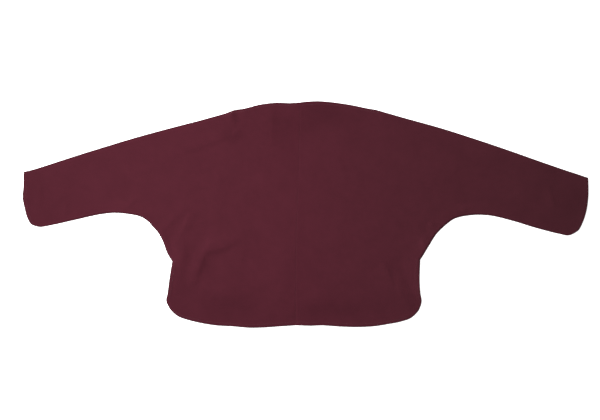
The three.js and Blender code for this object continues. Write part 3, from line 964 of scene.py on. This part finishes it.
def sew(point, lie, where, course):
    """The threads along a line of the cloth, one at each stitch: vertices and faces.

    point(s, t) and lie(s, t, plan) give the plan and the underside of the cloth, where(u) gives
    s and t of the line for u from 0 to 1, and course is a name. Each thread is a tube round its
    course, with a ring of THREAD_SIDES corners at each point, square to the course there.
    """
    scene = bpy.context.scene
    settings = scene.cardigan_sewing
    counted_from, places = COURSES[course]
    base = scene.cardigan_cloth.thickness / MM if counted_from == "face" else 0.0
    s, t = where(np.linspace(0, 1, LINE_SAMPLES))
    points = point(s, t)
    run = np.concatenate([[0], np.cumsum(length(np.diff(points, axis=0)))])
    count = int(run[-1] // (settings.stitch / MM))
    at = (np.arange(count) + 0.5) * run[-1] / count

    def on_line(distance):
        return np.stack([np.interp(distance, run, points[:, k]) for k in (0, 1)], axis=-1)

    place = on_line(at)
    along = on_line(at + STITCH_AHEAD) - on_line(at - STITCH_AHEAD)
    along /= length(along)[:, None]
    out = np.stack([along[:, 1], -along[:, 0]], axis=-1)
    s, t = np.interp(at, run, s), np.interp(at, run, t)
    if ((place - point(s, 1 - t)) * out).sum() < 0:
        out = -out  # away from the opposite edge

    outs, alongs, ups = np.array(places, float).T
    threads = np.empty((count, len(places), 3))
    threads[..., :2] = place[:, None] + out[:, None] * outs[:, None]
    threads[..., :2] += along[:, None] * alongs[:, None]
    threads[..., 2] = lie(s, t, place)[:, None] + (base + ups)
    way = np.gradient(threads, axis=1)
    way /= length(way)[..., None]
    side = np.zeros_like(way)  # square to the plane of the course
    side[..., :2] = (along if outs.any() else out)[:, None]
    up = np.cross(side, way)
    angle = np.arange(THREAD_SIDES) / THREAD_SIDES * math.tau
    ring = np.cos(angle)[:, None] * side[:, :, None] + np.sin(angle)[:, None] * up[:, :, None]
    tube = threads[:, :, None] + settings.thread / MM * ring
    number = np.arange(tube[..., 0].size).reshape(tube.shape[:3])
    turned = np.roll(number, -1, axis=2)
    quads = np.stack([number[:, :-1], number[:, 1:], turned[:, 1:], turned[:, :-1]], axis=-1)
    caps = [number[:, 0], number[:, -1, ::-1]]
    return tube.reshape(-1, 3), np.concatenate([quads.reshape(-1, 4), *caps])


class CARDIGAN_OT_sewing(bpy.types.Operator):
    """Sew the centre back, the seams over and under the arms, and the turned edges"""

    bl_idname = "cardigan.sewing"
    bl_label = "Sewing"

    def execute(self, context):
        material = thread_material("wine_thread")
        for side, half in HALVES.items():
            back, front = (half.point, half.back_lie), (half.front_point, half.front_lie)
            turned = [half.hem_line, half.cuff_line, half.neck_line, half.vent_line]
            sewn = (
                ("seam", [half.edge_line(0, NECK_POINT, 1.0)]),
                ("seam", [half.edge_line(WRIST, WAIST, 0.0)]),
                ("outside", turned),
            )
            for name, (course, lines) in zip(SEWN_ON_EACH_HALF, sewn):
                self.add(f"sewing_{name}_{side}", "knit_back", back, lines, course, material)
            name = f"sewing_front_{side}"
            self.add(name, "knit_front", front, half.front_lines, "inside", material)
        left = HALVES["left"]
        back, centre = (left.point, left.back_lie), [left.edge_line(NECK_CENTRE, HEM, 1.0)]
        self.add("sewing_centre_back", "knit_back", back, centre, "ladder", material)
        return {"FINISHED"}

    @staticmethod
    def add(name, slot, panel, lines, course, material):
        """One piece of the threads along several lines of a panel."""
        vertices, faces, used = [], [], 0
        for where in lines:
            corners, quads = sew(*panel, where, course)
            vertices.append(corners)
            faces.append(quads + used)
            used += len(corners)
        vertices = to_frame(np.concatenate(vertices))
        finish_piece(mesh_object(name, vertices, np.concatenate(faces), material))


class CARDIGAN_OT_stage(bpy.types.Operator):
    """Build the pale floor, the studio lights and the camera straight above"""

    bl_idname = "cardigan.stage"
    bl_label = "Stage"

    def execute(self, context):
        scene = context.scene
        stage = scene.cardigan_stage
        corners = np.array([(-1, -1, -1), (1, -1, -1), (1, 1, -1), (-1, 1, -1)])
        corners = corners * (FLOOR_REACH, FLOOR_REACH, FLOOR_DROP)
        floor = mesh_object("floor", corners, [(0, 1, 2, 3)], floor_material("pale_paper"))

        light = bpy.data.lights.new("overhead", "POINT")
        light.energy = stage.overhead
        light.shadow_soft_size = OVERHEAD_RADIUS
        self.place(scene, light, to_frame(OVERHEAD_PLACE))

        sun = bpy.data.lights.new("side_sun", "SUN")
        sun.energy = stage.side_light
        sun.angle = stage.side_spread
        quarter = math.pi / 2
        turn = (quarter - stage.side_elevation, 0.0, quarter + stage.side_azimuth)
        self.place(scene, sun, to_frame(OVERHEAD_PLACE), turn)

        world = bpy.data.worlds.new("studio")
        world.use_nodes = True
        background = world.node_tree.nodes["Background"].inputs
        background["Color"].default_value = WHITE
        background["Strength"].default_value = stage.ambient
        scene.world = world
        scene.view_settings.view_transform = "Standard"

        camera = bpy.data.cameras.new("camera")
        camera.lens = camera.sensor_width * stage.camera_height / stage.view_width
        middle = to_frame(VIEW_MIDDLE)
        middle[2] = stage.camera_height
        scene.camera = self.place(scene, camera, middle)
        return {"FINISHED"}

    @staticmethod
    def place(scene, data, where, turn=(0.0, 0.0, 0.0)):
        """The object of a light or camera, which the camera itself doesn't see."""
        placed = bpy.data.objects.new(data.name, data)
        placed.location = where
        placed.rotation_euler = turn
        placed.visible_camera = False
        scene.collection.objects.link(placed)
        return placed


class CARDIGAN_PT_panel(bpy.types.Panel):
    """The cardigan's settings and the steps that build it"""

    bl_idname = "CARDIGAN_PT_panel"
    bl_label = "Dolman cardigan"
    bl_space_type = "VIEW_3D"
    bl_region_type = "UI"
    bl_category = "Cardigan"

    def draw(self, context):
        for group in SETTINGS:
            settings = getattr(context.scene, group)
            for name in settings.__annotations__:
                self.layout.prop(settings, name)
        for operator in OPERATORS:
            self.layout.operator(operator.bl_idname)


SETTINGS = {
    "cardigan_cloth": ClothSettings,
    "cardigan_knit": KnitSettings,
    "cardigan_sewing": SewingSettings,
    "cardigan_stage": StageSettings,
}
# The sewing comes before the panels.
OPERATORS = (CARDIGAN_OT_stage, CARDIGAN_OT_sewing, CARDIGAN_OT_fronts, CARDIGAN_OT_backs)


def register():
    for settings in SETTINGS.values():
        bpy.utils.register_class(settings)
    for name, settings in SETTINGS.items():
        setattr(bpy.types.Scene, name, PointerProperty(type=settings))
    for operator in OPERATORS:
        bpy.utils.register_class(operator)
    bpy.utils.register_class(CARDIGAN_PT_panel)


def unregister():
    bpy.utils.unregister_class(CARDIGAN_PT_panel)
    for operator in reversed(OPERATORS):
        bpy.utils.unregister_class(operator)
    for name, settings in SETTINGS.items():
        delattr(bpy.types.Scene, name)
        bpy.utils.unregister_class(settings)


def main():
    """Builds everything in order."""
    register()
    for operator in OPERATORS:
        group, name = operator.bl_idname.split(".")
        getattr(getattr(bpy.ops, group), name)()


if __name__ == "__main__":
    main()
